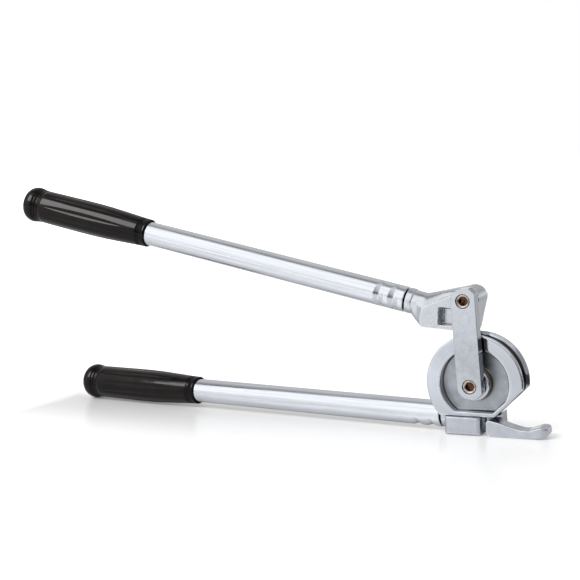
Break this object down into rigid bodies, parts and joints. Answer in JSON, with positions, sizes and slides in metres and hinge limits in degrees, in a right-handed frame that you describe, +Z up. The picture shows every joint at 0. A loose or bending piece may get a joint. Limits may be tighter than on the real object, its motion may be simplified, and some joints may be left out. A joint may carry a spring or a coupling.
{
  "type": "tube bender",
  "caption": "Lever tube bender for 1/2 in tube: grooved forming wheel on one handle, forming shoe on the other, joined by a link, with black vinyl grips.",
  "frame": {"origin": "On the floor under the forming wheel's axis, in the wheel's middle plane.", "axes": "+X runs along the tool from the grips to the latch, +Y runs from the link's side to the nuts' side, +Z is up from the foot."},
  "size_m": [0.4934, 0.088, 0.2077],
  "materials": {
    "plated_steel": "satin plated forging",
    "tube_steel": "bright drawn and plated tube",
    "bolt_steel": "yellow zinc plating",
    "bronze": "plain bearing bronze",
    "black_vinyl": "glossy dipped vinyl"
  },
  "bodies": {
    "frame": {"forming_wheel": "plated_steel", "lower_yoke": "plated_steel", "yoke_screws": "bolt_steel", "lower_handle_tube": "tube_steel", "lower_grip": "black_vinyl", "wheel_pivot_bolt": "bolt_steel", "wheel_pivot_washer": "bolt_steel", "wheel_pivot_nut": "bolt_steel"},
    "link": {"link_arm": "plated_steel", "link_lower_bush": "bronze", "link_upper_bush": "bronze", "lower_thrust_washer": "bronze", "upper_thrust_washer": "bronze"},
    "handle": {"forming_shoe": "plated_steel", "upper_handle_tube": "tube_steel", "upper_grip": "black_vinyl", "shoe_pivot_bolt": "bolt_steel", "shoe_pivot_washer": "bolt_steel", "shoe_pivot_nut": "bolt_steel"},
    "latch": {"tube_latch": "plated_steel", "latch_pin": "bolt_steel", "latch_washer": "bolt_steel", "latch_clip": "bolt_steel"}
  },
  "joints": [
    {"name": "link_swing", "type": "hinge", "parent": "frame", "child": "link", "pos_m": [0, 0, 0.0417], "axis": [0, 1, 0], "range_deg": [-11, 75]},
    {"name": "handle_swing", "type": "hinge", "parent": "link", "child": "handle", "pos_m": [-0.00345, 0, 0.10981], "axis": [0, 1, 0], "range_deg": [0, 90]},
    {"name": "latch_swing", "type": "hinge", "parent": "frame", "child": "latch", "pos_m": [0.014, 0, 0.0075], "axis": [0, -1, 0], "range_deg": [0, 40]}
  ]
}
